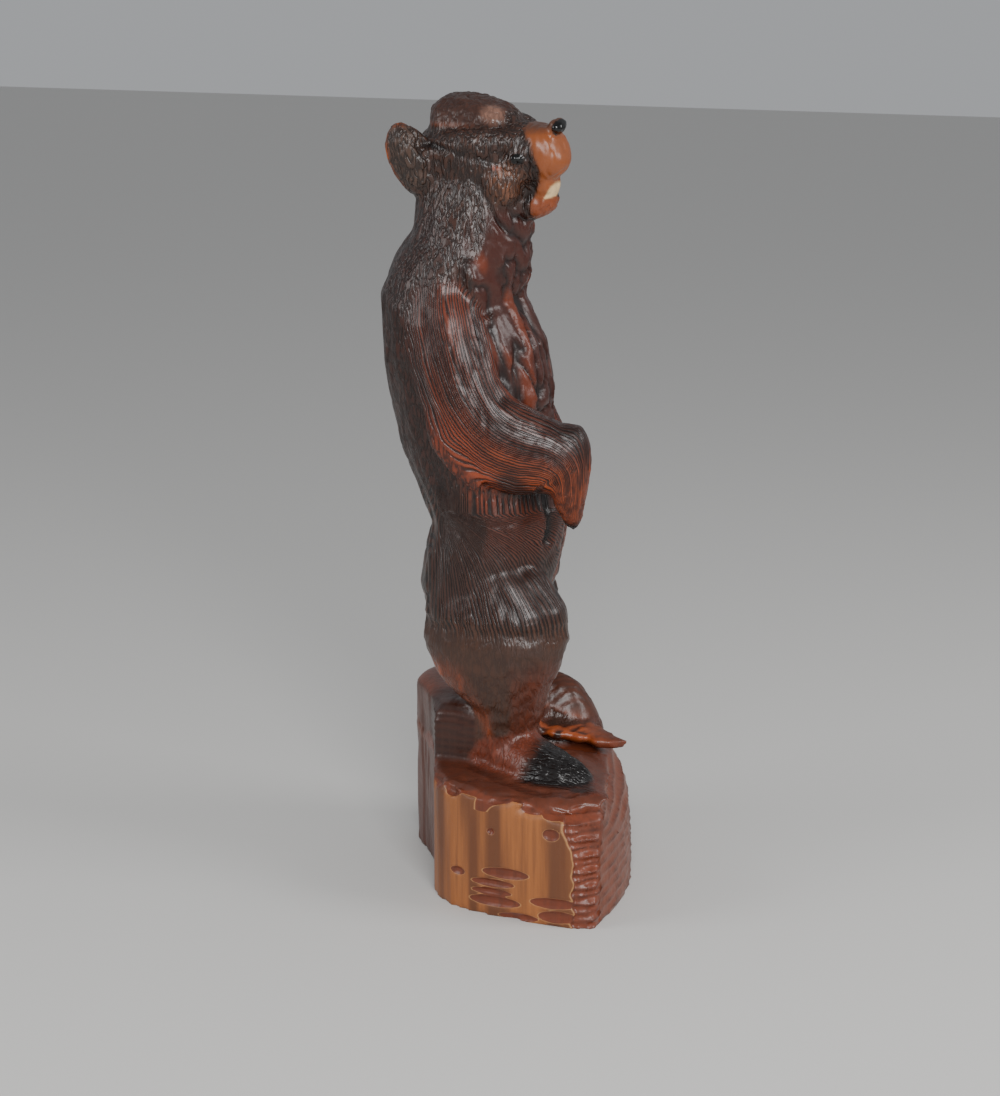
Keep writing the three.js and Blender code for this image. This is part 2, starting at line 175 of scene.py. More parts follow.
def beside(spine):
    """Where the surface lies beside a limb: along it, round it, and out in half-thicknesses."""
    steps_each, smoothings = 6, 10
    spine = np.array(spine, float)
    fine_steps = np.linspace(0, len(spine) - 1, steps_each * len(spine))
    line = np.stack([np.interp(fine_steps, range(len(spine)), spine[:, i]) for i in range(5)], 1)
    for _ in range(smoothings):
        line[1:-1] = line[1:-1] / 2 + (line[:-2] + line[2:]) / 4
    middle, half = line[:, :3], line[:, 3:]
    step = np.diff(middle, axis=0)
    length = np.linalg.norm(step, axis=1)
    ahead = np.gradient(middle, axis=0)
    ahead /= np.linalg.norm(ahead, axis=1)[:, None]
    nearest = np.full(len(at), np.inf)
    best = np.zeros(len(at))
    for i in range(len(step)):
        share = np.clip((start - middle[i]) @ step[i] / length[i] ** 2, 0, 1)
        away = np.linalg.norm(start - middle[i] - share[:, None] * step[i], axis=1)
        closer = away < nearest
        nearest[closer] = away[closer]
        best[closer] = i + share[closer]
    marks = np.arange(len(line))
    centre = np.stack([np.interp(best, marks, middle[:, i]) for i in range(3)], 1)
    ahead = np.stack([np.interp(best, marks, ahead[:, i]) for i in range(3)], 1)
    ahead /= np.linalg.norm(ahead, axis=1)[:, None]
    side = np.array([0, 1, 0]) - ahead[:, 1:2] * ahead
    side /= np.linalg.norm(side, axis=1)[:, None]
    front = np.cross(side, ahead)
    gap = start - centre
    u, v = (gap * front).sum(1), (gap * side).sum(1)
    deep = np.interp(best, marks, half[:, 0])
    wide = np.interp(best, marks, half[:, 1])
    along = np.interp(best, marks, np.concatenate([[0], np.cumsum(length)]))
    return along, np.arctan2(v, u), np.hypot(u / deep, v / wide)


# Every part of the surface is told by the limb that it lies beside. A limb is a row of places on
# its middle line, each with half its depth fore and aft and half its width.
BODY = [
    (-0.017, 0.021, 0.304, 0.030, 0.040),
    (-0.025, 0.021, 0.346, 0.062, 0.080),
    (-0.033, 0.021, 0.386, 0.088, 0.104),
    (-0.037, 0.021, 0.424, 0.096, 0.113),
    (-0.027, 0.021, 0.466, 0.092, 0.110),
    (-0.019, 0.021, 0.510, 0.094, 0.106),
    (-0.031, 0.021, 0.556, 0.096, 0.106),
    (-0.045, 0.021, 0.604, 0.102, 0.110),
    (-0.057, 0.021, 0.652, 0.109, 0.114),
    (-0.063, 0.021, 0.704, 0.114, 0.119),
    (-0.078, 0.021, 0.752, 0.110, 0.122),
    (-0.094, 0.021, 0.796, 0.093, 0.117),
    (-0.078, 0.021, 0.838, 0.092, 0.108),
    (-0.063, 0.021, 0.876, 0.084, 0.096),
    (-0.057, 0.021, 0.914, 0.082, 0.086),
    (-0.054, 0.021, 0.952, 0.086, 0.080),
]
RIGHT_ARM = [
    (-0.075, -0.010, 0.930, 0.040, 0.034),
    (-0.087, -0.025, 0.872, 0.046, 0.034),
    (-0.079, -0.057, 0.806, 0.060, 0.042),
    (-0.059, -0.073, 0.742, 0.062, 0.042),
    (-0.035, -0.077, 0.684, 0.060, 0.040),
    (0.001, -0.077, 0.642, 0.064, 0.038),
    (0.047, -0.073, 0.624, 0.062, 0.036),
    (0.084, -0.067, 0.622, 0.052, 0.034),
    (0.106, -0.061, 0.604, 0.034, 0.029),
    (0.104, -0.055, 0.570, 0.027, 0.025),
    (0.112, -0.051, 0.518, 0.014, 0.019),
]
LEFT_ARM = [
    (-0.087, 0.067, 0.872, 0.044, 0.034),
    (-0.081, 0.099, 0.806, 0.056, 0.042),
    (-0.067, 0.113, 0.742, 0.054, 0.040),
    (-0.051, 0.115, 0.684, 0.050, 0.038),
    (-0.025, 0.115, 0.640, 0.048, 0.036),
    (0.001, 0.107, 0.612, 0.042, 0.034),
    (0.030, 0.090, 0.592, 0.036, 0.030),
    (0.048, 0.073, 0.574, 0.028, 0.027),
    (0.059, 0.059, 0.538, 0.021, 0.026),
    (0.059, 0.055, 0.508, 0.012, 0.018),
]
RIGHT_LEG = [
    (-0.031, -0.005, 0.516, 0.058, 0.050),
    (-0.028, -0.029, 0.440, 0.084, 0.058),
    (-0.005, -0.041, 0.370, 0.108, 0.062),
    (0.003, -0.045, 0.326, 0.098, 0.058),
    (0.011, -0.043, 0.290, 0.076, 0.052),
    (0.017, -0.041, 0.258, 0.050, 0.046),
    (0.013, -0.041, 0.220, 0.043, 0.042),
    (0.011, -0.041, 0.160, 0.046, 0.044),
]
RIGHT_FOOT = [
    (-0.033, -0.033, 0.180, 0.024, 0.030),
    (0.001, -0.041, 0.186, 0.034, 0.038),
    (0.039, -0.053, 0.184, 0.040, 0.042),
    (0.073, -0.065, 0.178, 0.034, 0.044),
    (0.103, -0.074, 0.174, 0.029, 0.042),
    (0.127, -0.081, 0.170, 0.025, 0.036),
    (0.146, -0.086, 0.168, 0.020, 0.028),
]
MIDLINE = 0.021  # y of the bear's middle
FAR_LEG_BACK = 0.042


def other_side(spine):
    """The same limb on the left, set back as the left leg is."""
    return [(x - FAR_LEG_BACK, 2 * MIDLINE - y, z, deep, wide) for x, y, z, deep, wide in spine]


RIGHT, LEFT = 0, 1
body_out = beside(BODY)[2]
arms = [beside(RIGHT_ARM), beside(LEFT_ARM)]
legs = [beside(RIGHT_LEG), beside(other_side(RIGHT_LEG))]
feet = [beside(RIGHT_FOOT), beside(other_side(RIGHT_FOOT))]
arm_out = np.minimum(arms[RIGHT][2], arms[LEFT][2])
leg_out = np.minimum(legs[RIGHT][2], legs[LEFT][2])
foot_out = np.minimum(feet[RIGHT][2], feet[LEFT][2])
x, y, z = start.T

# ---- Foot log ----
# The butt of the trunk: one flat sawn face left golden, the rest hewn with a wide gouge in rows
# of scallops. Its hewn top is the step that the feet stand on, with the trunk left standing behind.
HEWN_WOOD = shade(112, 56, 36)
FAR_SIDE_PAINTED_SHADE = shade(64, 34, 24)
FRONT_WOOD = shade(118, 60, 36)
FRONT_VALLEY = shade(74, 36, 24)
CORNER_WOOD = shade(122, 62, 42)
CORNER_VALLEY = shade(70, 34, 24)
STEP_WOOD = shade(92, 50, 36)
ROUND_BACK_WOOD = shade(84, 42, 28)
WALL_WOOD = shade(60, 32, 23)
WALL_VALLEY = shade(34, 19, 15)
LINE_STAIN = shade(58, 30, 22)
FRONT_ROW_DEPTH = 0.0034
PARED_DEPTH = 0.0012
FAR_SIDE_DEPTH = 0.002
WALL_DEPTH = 0.0016
THIN_LINE_DEPTH, THIN_LINE_GAP = 0.0018, 0.009
FIGURE_STAIN = shade(52, 30, 22)
GOUGE_REACH = 0.02  # a cut leaves what is further away than this alone
FACE_CUT_DEPTH = 0.0042
TOP_CUT_DEPTH = 0.0036
ROW = 0.0165  # height of one row of gouge cuts on the front
CORNER_ROW = 0.0112  # and of one scoop up the corner
WALL_ROW = 0.0105  # and of one stroke on the wall behind the legs
CORNER = np.array([0.176, -0.172])  # x and y of the near front corner
CORNER_TOP = 0.172  # everything below this is log


def rippled(points, size):
    """Smooth noise from -1 to 1 with bumps about this size apart."""
    return np.array([noise.noise(place) for place in (points / size).tolist()])


def scored(points, size):
    """Long cuts: 0 in the bottom of a cut and 1 on the crests between."""
    return eased(0.0, 0.42, np.abs(rippled(points, size) * 1.6))


def near_line(points):
    """Distance of the surface from a drawn line."""
    nearest = np.full(len(at), np.inf)
    for a, b in zip(np.array(points, float)[:-1], np.array(points, float)[1:]):
        share = np.clip((start - a) @ (b - a) / ((b - a) @ (b - a)), 0, 1)
        nearest = np.minimum(nearest, np.linalg.norm(start - a - share[:, None] * (b - a), axis=1))
    return nearest


figure_out = np.minimum.reduce([body_out, arm_out, leg_out, foot_out])
is_log = eased(1.02, 1.12, figure_out) * eased(0.300, 0.262, z)
is_log = np.maximum(is_log, eased(CORNER_TOP, 0.166, z))
stained(np.ones(len(at)), FIGURE_STAIN)
stained(is_log, HEWN_WOOD)
face_depth = y - sawn_at(x)
on_face = eased(0.006, 0.003, np.abs(face_depth)) * eased(0.4, 0.7, -facing[:, 1]) * eased(0.19, 0.18, z)
cut_mark = np.full(len(at), -1.0)  # above 0 where a gouge has taken the sawn face away


def cut(place, along, out, long, wide, deep):
    """One cut of a round gouge, held so that it goes in against out and runs along."""
    along, out = np.array(along, float), np.array(out, float)
    across = np.cross(out, along)
    gap = start - np.array(place)
    inside = 1 - (gap @ along / long) ** 2 - (gap @ across / wide) ** 2
    inside = np.where(np.abs(gap @ out) < GOUGE_REACH, inside, -1.0)
    at[:] -= (deep * np.clip(inside, 0, None) ** 0.7)[:, None] * out
    cut_mark[:] = np.maximum(cut_mark, inside)


# Cuts on the sawn face: x, height, half length and half width of each.
FACE_CUTS = [
    (0.056, 0.065, 0.035, 0.008), (0.037, 0.048, 0.033, 0.006), (0.035, 0.035, 0.031, 0.0055),
    (0.040, 0.022, 0.039, 0.008), (0.125, 0.033, 0.033, 0.008), (0.131, 0.014, 0.027, 0.009),
    (-0.018, 0.054, 0.012, 0.006), (0.122, 0.131, 0.012, 0.009), (0.034, 0.122, 0.006, 0.005),
    (0.139, 0.157, 0.012, 0.006), (0.075, 0.005, 0.030, 0.006), (0.010, 0.172, 0.026, 0.006),
    (0.062, 0.174, 0.030, 0.006), (0.128, 0.160, 0.022, 0.010), (-0.030, 0.170, 0.016, 0.008),
]
for along, height, long, wide in FACE_CUTS:
    place = np.array([along, sawn_at(along), height])
    cut(place, [1, 0, 0.04], [0, -1, 0], long, wide, FACE_CUT_DEPTH)

# Long flat cuts on top of the step, near its sawn edge: both ends and half width of each.
TOP_CUTS = [
    (-0.031, -0.127, -0.003, -0.117, 0.007), (0.002, -0.123, 0.073, -0.099, 0.009),
    (0.011, -0.172, 0.091, -0.150, 0.010), (0.087, -0.136, 0.105, -0.130, 0.007),
    (0.108, -0.170, 0.153, -0.154, 0.009), (0.147, -0.152, 0.163, -0.147, 0.006),
    (-0.040, -0.146, 0.004, -0.158, 0.008), (0.120, -0.134, 0.140, -0.126, 0.006),
]
for x0, y0, x1, y1, wide in TOP_CUTS:
    long = math.hypot(x1 - x0, y1 - y0) / 2
    run = np.array([x1 - x0, y1 - y0, 0]) / (2 * long)
    place = [(x0 + x1) / 2, (y0 + y1) / 2, STEP_TOP - 0.004]
    cut(place, run, [0, -0.2, 0.98], long, wide, TOP_CUT_DEPTH)

# Cuts stacked up the front corner, and the slanting rows across the front.
from_corner = np.hypot(x - CORNER[0], y - CORNER[1])
level = z / CORNER_ROW + 0.3 * rippled(start, 0.05)
scallop = np.abs(np.sin(np.pi * level)) ** 0.8
ragged_width = 0.024 + 0.006 * rippled(np.stack([z, z * 0, z * 0], 1), 0.014)
ragged_width += 0.016 * eased(0.10, 0.15, z)
on_corner = eased(1.0, 0.9, from_corner / ragged_width) * is_log * eased(CORNER_TOP, 0.160, z)
at += np.outer(on_corner * (0.0020 + 0.0042 * scallop), [-0.5, 0.8, 0])
cut_mark = np.maximum(cut_mark, np.where(z < CORNER_TOP, 1 - from_corner / ragged_width, -1))
front_side = eased(0.35, 0.7, facing[:, 0]) * is_log * eased(0.180, 0.168, z) * (1 - on_corner)
slanting = (z - 0.11 * y) / ROW + 0.35 * rippled(start, 0.06)
front_scallop = np.abs(np.sin(np.pi * slanting)) ** 0.75
at -= facing * (front_side * FRONT_ROW_DEPTH * front_scallop)[:, None]
stained(front_side, FRONT_WOOD)
stained(front_side * (1 - front_scallop) ** 2, FRONT_VALLEY)
stained(on_corner, CORNER_WOOD)
stained(on_corner * (1 - scallop) ** 3, CORNER_VALLEY)

# The step round the feet is pared nearly smooth, and the far side keeps shallow upright cuts.
step_top = is_log * eased(0.6, 0.9, facing[:, 2]) * eased(0.155, 0.17, z) * eased(0.19, 0.178, z)
stained(step_top, STEP_WOOD)
pared = np.stack([x * 0.5, y * 0.5, z], 1)
at -= facing * (step_top * PARED_DEPTH * (1 - scored(pared, 0.012)))[:, None]
far_side = is_log * eased(0.3, -0.2, facing[:, 0]) * eased(0.6, 0.3, facing[:, 2])
far_side *= 1 - eased(0.01, 0.004, np.abs(face_depth))
upright = scored(np.stack([x, y, z * 0.18], 1), 0.024)
at -= facing * (far_side * FAR_SIDE_DEPTH * (1 - upright))[:, None]
# Painted shade: the far side of the log, turned from the light, is stained darker; where it faces
# straight back it is lighter and redder.
stained(far_side, FAR_SIDE_PAINTED_SHADE)
stained(far_side * eased(-0.2, -0.8, facing[:, 0]), ROUND_BACK_WOOD)

# The near wall of the standing block is hewn in level curving strokes.
near_wall = is_log * eased(0.172, 0.18, z) * eased(0.06, 0.02, x) * eased(0.02, -0.03, y)
bowed = (z + 3.0 * (x + 0.07) ** 2) / WALL_ROW + 0.3 * rippled(start, 0.04)
at -= facing * (near_wall * WALL_DEPTH * np.abs(np.sin(np.pi * bowed)))[:, None]
stained(near_wall, WALL_WOOD)
stained(near_wall * eased(0.3, -0.3, np.sin(2 * np.pi * bowed)) * 0.5, WALL_VALLEY)

# A pair of thin lines is cut round the outside of the foot.
for gap in (0.0, THIN_LINE_GAP):
    ring = [(-0.032, -0.072 - gap, STEP_TOP), (0.024, -0.106 - gap, STEP_TOP)]
    ring += [(0.061, -0.130 - gap, STEP_TOP), (0.100, -0.139 - gap, STEP_TOP)]
    ring += [(0.153, -0.108 - gap, STEP_TOP)]
    line = eased(0.0042, 0.0012, near_line(ring))
    at[:, 2] -= THIN_LINE_DEPTH * line
    stained(line * 0.7, LINE_STAIN)

# ---- Root mound and split ledge ----
# The root swells out at the left front. Its near edge is split off as a thin ragged shelf of
# bright fresh wood that overhangs the step.
MOUND_WOOD = shade(84, 45, 29)
MOUND_VALLEY = shade(58, 34, 24)
FRESH_WOOD = shade(156, 76, 40)
NOTCH_PAINTED_SHADE = shade(52, 27, 19)
SHELF_PAINTED_SHADE = shade(24, 14, 11)
MOUND_ROW, MOUND_ROW_DEPTH = 0.010, 0.0014
RAGGED, RAGGED_DEPTH = 0.011, 0.0028  # the notches of the broken edge

is_ledge = is_log * eased(0.176, 0.182, z) * eased(0.0, 0.02, x) * eased(0.034, 0.044, y)
mound = is_log * eased(0.178, 0.19, z) * (1 - near_wall) * eased(-0.08, -0.03, x)
shelf_line = 0.198 - 0.404 * (x - 0.029)
lower_edge = is_ledge * eased(0.024, 0.008, np.abs(z - shelf_line - 0.004))
lower_edge *= eased(0.100, 0.085, y - 0.3 * (x - 0.05))
stained(mound, MOUND_WOOD)
curved = (y - 0.9 * x + 2.5 * (x - 0.03) ** 2) / MOUND_ROW + 0.3 * rippled(start, 0.05)
band = mound * eased(0.205, 0.22, z) * (1 - lower_edge)
at -= facing * (band * MOUND_ROW_DEPTH * np.abs(np.sin(np.pi * curved)))[:, None]
stained(band * eased(0.2, -0.6, np.sin(2 * np.pi * curved)) * 0.7, MOUND_VALLEY)
stained(lower_edge, FRESH_WOOD)
ragged = rippled(start * np.array([1.0, 1.0, 0.5]), RAGGED)
at += facing * (lower_edge * RAGGED_DEPTH * ragged)[:, None]
# Painted shade: the notches pressed into the broken edge are darkened.
stained(lower_edge * eased(0.1, 0.35, -ragged), NOTCH_PAINTED_SHADE)
# Painted shade: the underside of the shelf, facing down, is stained nearly black.
painted_shade_under_shelf = is_log * eased(0.2, -0.4, facing[:, 2]) * eased(0.176, 0.182, z)
painted_shade_under_shelf *= eased(0.0, 0.02, x)
stained(painted_shade_under_shelf, SHELF_PAINTED_SHADE)

# ---- Legs and feet ----
# Thick legs under a wide hip. The fur is drawn with a small gouge: it fans out and down from the
# back of the waist, ends at a shelf below the thigh, and is only pecked on the lower leg.
FAN_CENTRE = (-0.079, 0.541)  # x and z of the place that the hip fur fans out from
FAN_DROP = 0.08  # how far below it the fur has turned straight down
FAN_REACH = 0.16  # how far forward the strokes go before they crowd together
DARK_FUR = shade(44, 29, 24)
RED_FUR = shade(118, 52, 30)
ORANGE_FUR = shade(152, 72, 36)
BLACK_STAIN = shade(20, 15, 14)
HIP_FUR = shade(56, 36, 29)
SHIN_FUR = shade(66, 44, 34)
SHIN_FRONT = shade(92, 44, 28)
CALF_FUR = shade(110, 54, 30)
INSTEP_FUR = shade(108, 50, 32)
THIGH_EDGE = 0.380  # height at which the long fur of the thigh ends
FAN_STRETCH = 7.0  # how many times longer than wide the cuts of the fan are
FAN_CUT, FAN_CUT_DEPTH = 0.0125, 0.0016
PECK, PECK_DEPTH = 0.010, 0.0016
SHELF_BULGE, SHELF_HOLLOW = 0.0022, 0.0026  # how far the thigh stands out over its edge, and back
TOE_CUT_DEPTH = 0.0034

# The way the hip fur lies: across the strokes, round the body, and drawn out along them.
fan_below = np.clip(FAN_CENTRE[1] - z, 0.008, None)
fan_ahead = np.clip(x - FAN_CENTRE[0], 0, None)
fan_turn = FAN_REACH * np.arctan(fan_ahead / (1 - np.exp(-fan_below / FAN_DROP)) / FAN_REACH)
fan_turn = np.where(x < FAN_CENTRE[0], x - FAN_CENTRE[0], fan_turn)
fan_flow = np.stack([fan_turn, 0.6 * (y - MIDLINE), np.hypot(fan_below, fan_ahead) / FAN_STRETCH], 1)

# Where the hip and the lower leg are, and the shelf between them.
not_log = 1 - is_log
hip = not_log * eased(0.585, 0.545, z) * eased(0.355, 0.385, z)
hip *= 1 - eased(0.06, -0.04, arm_out - body_out) * eased(0.50, 0.53, z)
leg = not_log * eased(0.400, 0.375, z)
thigh_edge = THIGH_EDGE + 0.003 * rippled(np.stack([x, x * 0, x * 0], 1), 0.03)
bulge = eased(0.045, 0.0, z - thigh_edge) * eased(-0.003, 0.003, z - thigh_edge)
hollow = eased(0.003, -0.004, z - thigh_edge) * eased(-0.03, -0.008, z - thigh_edge)
outer = eased(0.0, 0.5, np.abs(facing[:, 1])) * (leg_out < 1.25)
at += facing * (outer * not_log * (SHELF_BULGE * bulge - SHELF_HOLLOW * hollow))[:, None]

# Strokes on the hip, and pecking below.
fan_cut = scored(fan_flow, FAN_CUT)
at -= facing * (hip * FAN_CUT_DEPTH * (1 - fan_cut))[:, None]
peck = rippled(start, PECK)
at += facing * (leg * PECK_DEPTH * peck)[:, None]
comb[:, 1] = hip
comb[:, 2] = leg * 0.35
stained(hip, HIP_FUR)
stained(hip * (1 - fan_cut) * 0.6, DARK_FUR)
stained(outer * not_log * hollow * 0.9, RED_FUR)
stained(leg, SHIN_FUR)
stained(leg * eased(0.1, 0.6, facing[:, 0]) * eased(0.35, 0.30, z) * 0.7, SHIN_FRONT)
calf = leg * eased(0.0, -0.6, facing[:, 0]) * eased(0.34, 0.30, z)
stained(calf * 0.85, CALF_FUR)
long_patches = rippled(np.stack([x, y, z * 0.2], 1), 0.012)
stained(calf * eased(0.1, 0.5, long_patches), ORANGE_FUR)
gloss += 0.2 * outer * bulge

# The front of the near foot is stained nearly black, with the toes parted by cuts that run back
# from the claws.
foot = eased(1.18, 1.08, feet[RIGHT][2]) * eased(0.170, 0.176, z)
foot *= eased(0.042, 0.072, x - 0.3 * (z - 0.2))
foot *= eased(1.0, 1.12, np.where(z > 0.215, leg_out, 2.0)) * eased(0.03, 0.0, y)
stained(foot, BLACK_STAIN)
comb[:, 3] = foot
comb[:, 2] *= 1 - foot
gloss += 0.2 * foot
for toe in (-1.5, -0.5, 0.5, 1.5):  # toes to either side of the middle of the foot
    root = (0.075, -0.063 + toe * 0.012, 0.212)
    tip = (0.156, -0.086 + toe * 0.013, 0.178)
    parting = eased(0.0065, 0.001, near_line([root, tip])) * foot * eased(0.085, 0.115, x)
    at -= facing * (parting * TOE_CUT_DEPTH)[:, None]
instep = leg * eased(1.3, 1.1, feet[RIGHT][2]) * (1 - foot) * eased(0.25, 0.21, z)
stained(instep * 0.8, INSTEP_FUR)

# ---- Body ----
# A long trunk with the fur drawn upright on neck and back, and in deep loose locks that hang
# from throat and chest. The crests are worn red; the back, away from the light, is painted darker as
# shade.
BODY_FUR = shade(58, 38, 31)
BACK_PAINTED_SHADE = shade(50, 27, 21)
THROAT_FUR = shade(64, 31, 23)
THROAT_CREST = shade(100, 46, 27)
THROAT_VALLEY = shade(30, 16, 13)
BELLY_FUR = shade(80, 41, 29)
SLIT_PAINTED_SHADE = shade(16, 11, 10)
HANG = np.array([[0.86, 0, 0.5], [0, 1, 0], [-0.5, 0, 0.86]])  # the chest's locks hang forward
LOCK, LOCK_DEPTH = 0.020, 0.0050
FINE_LOCK, FINE_LOCK_DEPTH = 0.010, 0.0018
BACK_WAVE, BACK_WAVE_DEPTH = 0.015, 0.0012
SLIT_DEPTH = 0.008  # of the cleft between belly and right paw

upper = not_log * eased(0.53, 0.58, z)
back_turned_from_light = upper * eased(0.25, -0.35, facing[:, 0])
throat = upper * eased(0.25, 0.75, facing[:, 0]) * eased(0.62, 0.66, z) * eased(0.955, 0.93, z)
throat *= eased(-0.06, 0.02, arm_out - body_out)

# Deep loose locks on throat and chest, with finer ones between.
hanging = start @ HANG.T
hanging = np.stack([hanging[:, 0], hanging[:, 1], hanging[:, 2] / 4.5], 1)
lock = scored(hanging, LOCK)
fine_lock = scored(hanging + 0.37, FINE_LOCK)  # moved aside, so that the two do not fall together
lock_cuts = LOCK_DEPTH * (1 - lock) + FINE_LOCK_DEPTH * (1 - fine_lock)
at -= facing * (throat * lock_cuts)[:, None]

# Shallow wavy upright strokes everywhere else.
wavy = start.copy()
wavy[:, 2] /= 5.0
wavy[:, 0] += 0.004 * np.sin(z / 0.022)
wave = scored(wavy, BACK_WAVE)
at -= facing * (upper * (1 - throat) * BACK_WAVE_DEPTH * (1 - wave))[:, None]
comb[:, 2] = np.maximum(comb[:, 2], upper * (1 - throat))

stained(upper, BODY_FUR)
# Painted shade: the back of the body, facing away from the light, is stained darker.
stained(back_turned_from_light * 0.8, BACK_PAINTED_SHADE)
stained(throat, THROAT_FUR)
stained(throat * (1 - lock), THROAT_VALLEY)
stained(throat * eased(0.2, 0.5, rippled(hanging, 0.03)) * lock, THROAT_CREST)
belly = not_log * (1 - leg) * eased(0.60, 0.56, z) * eased(0.45, 0.50, z)
stained(belly * eased(0.0, 0.5, facing[:, 0]) * 0.8, BELLY_FUR)
# The cleft is cut in, and painted nearly black as the shade inside it.
slit_line = [(0.058, -0.010, 0.556), (0.061, -0.008, 0.500), (0.064, -0.012, 0.490)]
slit = eased(0.016, 0.004, near_line(slit_line))
at -= facing * (slit * SLIT_DEPTH)[:, None]
stained(slit, SLIT_PAINTED_SHADE)

# ---- Arms and paws ----
# Both arms are bent. Long gouge lines run down the upper arm, turn at the elbow, and follow the
# forearm to the wrist. The underside and the hanging paw are worn down to orange wood.
ARM_RADIUS = 0.052
ARM_STRETCH = 8.0  # how many times longer than wide the cuts are
ARM_GROOVE, ARM_GROOVE_DEPTH = 0.0125, 0.0013
ARM_SWELL, ARM_SWELL_DEPTH = 0.030, 0.0012
ARM_FUR = shade(70, 38, 29)
WORN_ARM_FUR = shade(92, 44, 29)
UNDERSIDE_FUR = shade(128, 60, 31)
PAW_FUR = shade(122, 58, 32)
ARM_VALLEY = shade(38, 20, 16)
WRIST_FUR = shade(40, 25, 20)
UNDER_ARM_PAINTED_SHADE = shade(22, 14, 12)


def straightened(along, turn, radius, stretch):
    """The limb laid out straight, so that strokes along it are drawn out by the stretch."""
    return np.stack([radius * np.cos(turn), radius * np.sin(turn), along / stretch], 1)


nearer = arms[RIGHT][2] < arms[LEFT][2]
arm_along = np.where(nearer, arms[RIGHT][0], arms[LEFT][0])
arm_turn = np.where(nearer, arms[RIGHT][1], arms[LEFT][1])
arm_flow = straightened(arm_along, arm_turn, ARM_RADIUS, ARM_STRETCH)
arm = not_log * eased(-0.07, 0.10, body_out - arm_out) * eased(1.45, 1.25, arm_out)
arm *= eased(0.925, 0.86, z)
forearm = arm * eased(0.25, 0.33, arm_along)
paw = arm * eased(0.45, 0.48, arm_along)
groove = scored(arm_flow, ARM_GROOVE)
swell = rippled(arm_flow, ARM_SWELL)
arm_cuts = ARM_GROOVE_DEPTH * (1 - groove) - ARM_SWELL_DEPTH * swell
at -= facing * (arm * arm_cuts)[:, None]
comb[:, 0] = arm
comb[:, 1] *= 1 - arm
comb[:, 2] *= 1 - arm

# Wrist, underside and paw, then the black claws, the tuft at the elbow and painted shade under the arm.
stained(arm, ARM_FUR)
stained(arm * eased(-0.15, 0.35, swell), WORN_ARM_FUR)
underside = forearm * eased(0.15, -0.35, facing[:, 2])
stained(underside, UNDERSIDE_FUR)
stained(paw * 0.85, PAW_FUR)
stained(arm * (1 - groove) * 0.75, ARM_VALLEY)
wrist = forearm * eased(0.38, 0.43, arm_along) * eased(0.0, 0.6, facing[:, 2])
stained(wrist * 0.85, WRIST_FUR)
claws = paw * eased(0.535, 0.522, z)
stained(claws, BLACK_STAIN)
elbow_line = [(-0.067, -0.105, 0.716), (-0.047, -0.110, 0.640), (-0.005, -0.098, 0.566)]
elbow = eased(0.044, 0.02, near_line(elbow_line))
stained(elbow * not_log * eased(0.70, 0.64, z) * 0.6, RED_FUR)
# Painted shade: a dark band on the belly where the forearm hangs over it.
under_arm_line = [(0.033, -0.090, 0.585), (0.052, -0.050, 0.562), (0.060, -0.020, 0.555)]
painted_shade_under_arm = not_log * eased(0.03, 0.012, near_line(under_arm_line))
stained(painted_shade_under_arm * 0.8, UNDER_ARM_PAINTED_SHADE)

# ---- Head ----
# Held level and turned a little to its right, with the mouth just open over a row of teeth.
# The muzzle is left as smooth tan wood; nose and eyes are painted black and the teeth cream.
HEAD_CENTRE = (-0.057, 0.023, 1.001)
HEAD_TURN, HEAD_RISE, HEAD_ROLL = math.radians(-10), math.radians(-2), math.radians(10)
JAW_HEIGHT = 0.925  # of the underside of the jaw, where the head parts from the throat
MASK_EDGE = [  # height on the head and how far forward the dark fur of the face ends
    (-0.056, 0.088), (-0.034, 0.100), (-0.011, 0.110),
    (0.014, 0.104), (0.026, 0.101), (0.045, 0.086),
]
CREASE = [  # the fold under the brow, from the ear to the root of the muzzle
    (-0.034, 0.056, 0.035), (-0.004, 0.073, 0.028), (0.030, 0.068, 0.017),
    (0.064, 0.054, 0.006), (0.097, 0.036, -0.002),
]
LID = [(0.058, 0.055, 0.001), (0.090, 0.044, 0.000)]
LIP = [(0.090, 0.028, -0.052), (0.108, 0.020, -0.053), (0.122, 0.000, -0.053)]
EYE, EYE_RADIUS = (0.085, 0.039, 0.008), 0.0092
CHEEK = (0.074, 0.052, -0.022)
NOSE, NOSE_SIZE = (0.138, 0, 0.041), (0.014, 0.020, 0.012)
NOSTRIL = (0.143, 0.009, 0.036)
EAR_HOLLOW, EAR_HOLLOW_SIZE = (-0.038, 0.066, 0.034), (0.030, 0.017, 0.026)
CROWN_SHEEN_PLACE = (-0.024, -0.004, 1.060)  # of the whole carving: the middle of a painted sheen on top of the crown
STIPPLE, STIPPLE_DEPTH, STIPPLE_STRETCH = 0.009, 0.0010, 2.6
CREASE_DEPTH = 0.0035
NOSTRIL_DEPTH = 0.003
EAR_DEPTH = 0.010
FACE_FUR = shade(58, 38, 30)
CREASE_STAIN = shade(24, 16, 14)
CHEEK_FUR = shade(104, 66, 46)
LID_RED = shade(128, 56, 30)
MUZZLE_WOOD = shade(132, 72, 38)
BRIDGE_WOOD = shade(84, 54, 40)
JAW_WOOD = shade(122, 62, 34)
MASK_STAIN = shade(28, 18, 15)
TOOTH_CREAM = shade(206, 176, 132)
LIP_STAIN = shade(30, 18, 14)
NOSE_BLACK = shade(8, 7, 7)
EYE_BLACK = shade(6, 5, 5)
EAR_FUR = shade(70, 54, 46)
EAR_RIM = shade(150, 76, 38)
CROWN_WOOD = shade(66, 42, 34)
